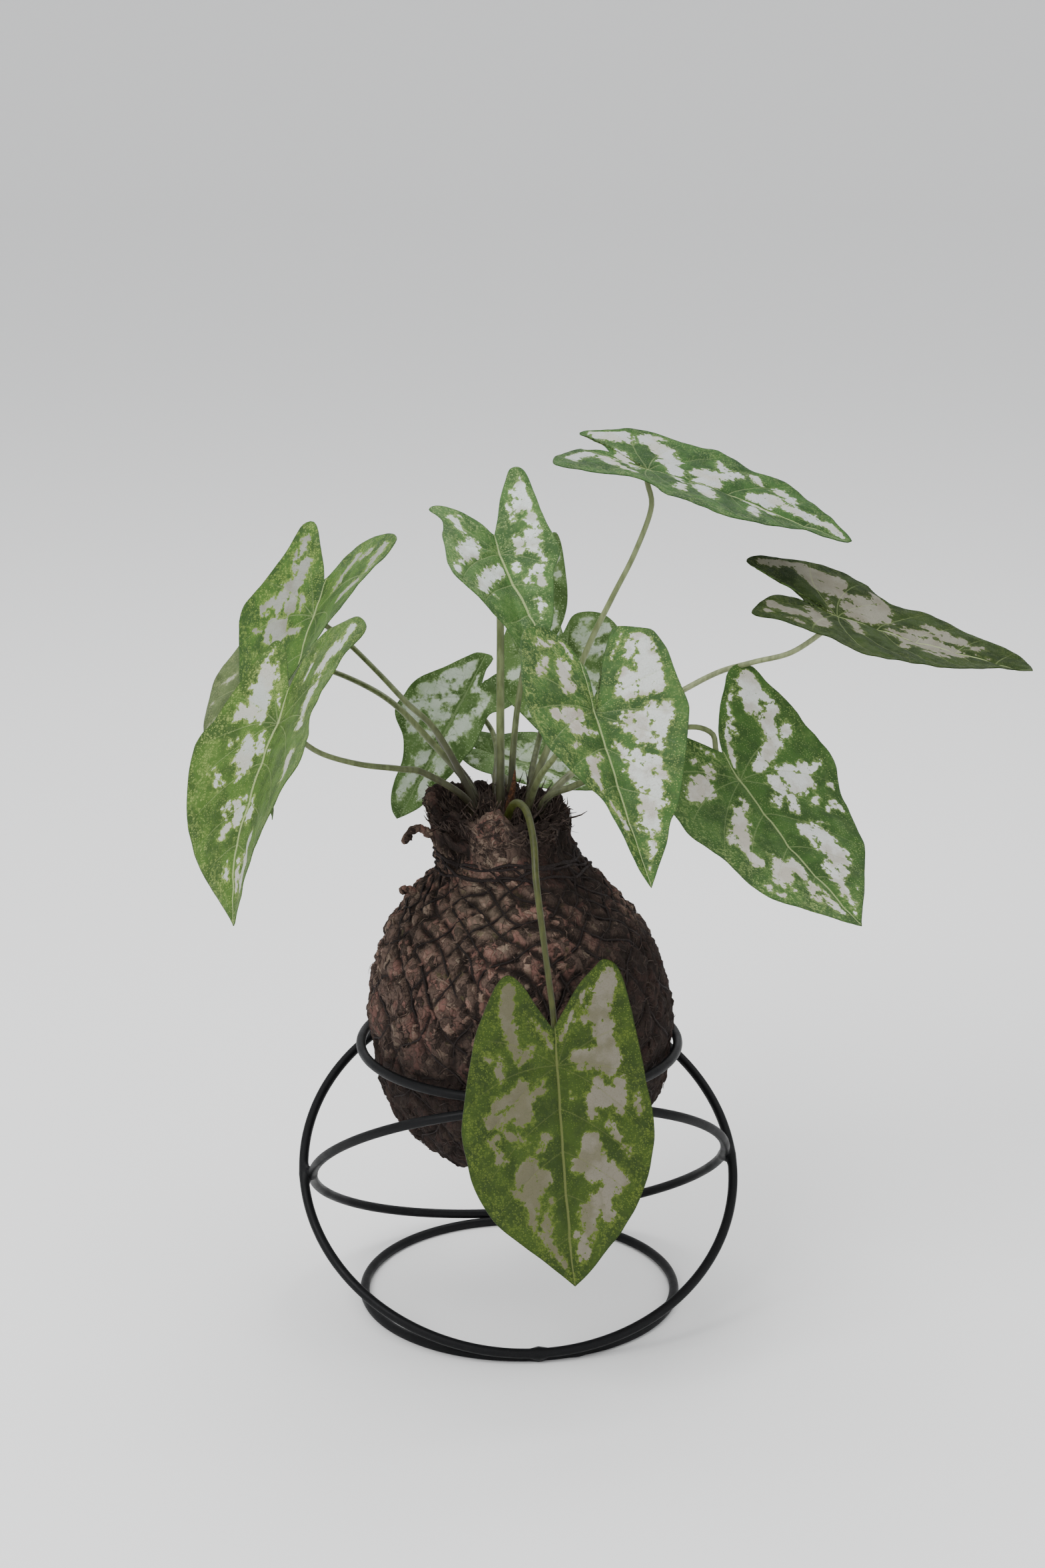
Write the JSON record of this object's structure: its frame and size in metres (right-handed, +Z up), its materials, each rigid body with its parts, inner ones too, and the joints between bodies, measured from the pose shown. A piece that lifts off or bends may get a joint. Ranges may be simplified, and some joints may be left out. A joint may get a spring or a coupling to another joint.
{
  "type": "kokedama plant on a wire stand",
  "caption": "Caladium growing from a coir-wrapped, netted soil ball with a drawn-in neck, cradled in a black stand of crossed wire hoops, with blotched heart-shaped leaves on thin stalks",
  "frame": {"origin": "middle of the underside of the whole object's box, on the floor plane the base ring stands on; the stand's axis is 30 mm to its left and 16 mm behind it", "axes": "+Z up, the front faces -Y, the long leaves reach out to +X"},
  "size_m": [0.3096, 0.2086, 0.3305],
  "materials": {
    "black_paint": "satin black paint over round steel wire",
    "coir": "matt matted coconut fibre",
    "soil": "matt damp potting soil",
    "tuber_skin": "matt brown corky skin",
    "net_cord": "dark twisted net cord",
    "stalk": "smooth green living stalk",
    "blade": "green living leaf with pale blotches, satin",
    "blade_rear": "green living leaf with pale streaks, satin",
    "dry_sheath": "dry papery sheath"
  },
  "bodies": {
    "root": {"base_ring": "black_paint", "cradle_ring": "black_paint", "hoop_inner": "black_paint", "hoop_outer": "black_paint", "coir_cover": "coir", "soil_ball": "soil", "tuber": "tuber_skin", "net": "net_cord", "neck_tie": "net_cord", "blade_left_front": "blade", "stalk_left_front": "stalk", "blade_left_rear": "blade", "stalk_left_rear": "stalk", "blade_top_middle": "blade", "stalk_top_middle": "stalk", "blade_top_right": "blade", "stalk_top_right": "stalk", "blade_middle_right": "blade", "stalk_middle_right": "stalk", "blade_far_right": "blade", "stalk_far_right": "stalk", "blade_right_front": "blade", "stalk_right_front": "stalk", "blade_rear_middle": "blade_rear", "stalk_rear_middle": "stalk", "blade_hanging_front": "blade", "stalk_hanging_front": "stalk", "blade_rear_left": "blade_rear", "stalk_rear_left": "stalk", "blade_rear_right": "blade_rear", "stalk_rear_right": "stalk", "blade_far_left": "blade_rear", "stalk_far_left": "stalk", "blade_low_rear": "blade_rear", "stalk_low_rear": "stalk", "dry_sheath": "dry_sheath", "old_stalk": "dry_sheath"}
  },
  "joints": []
}
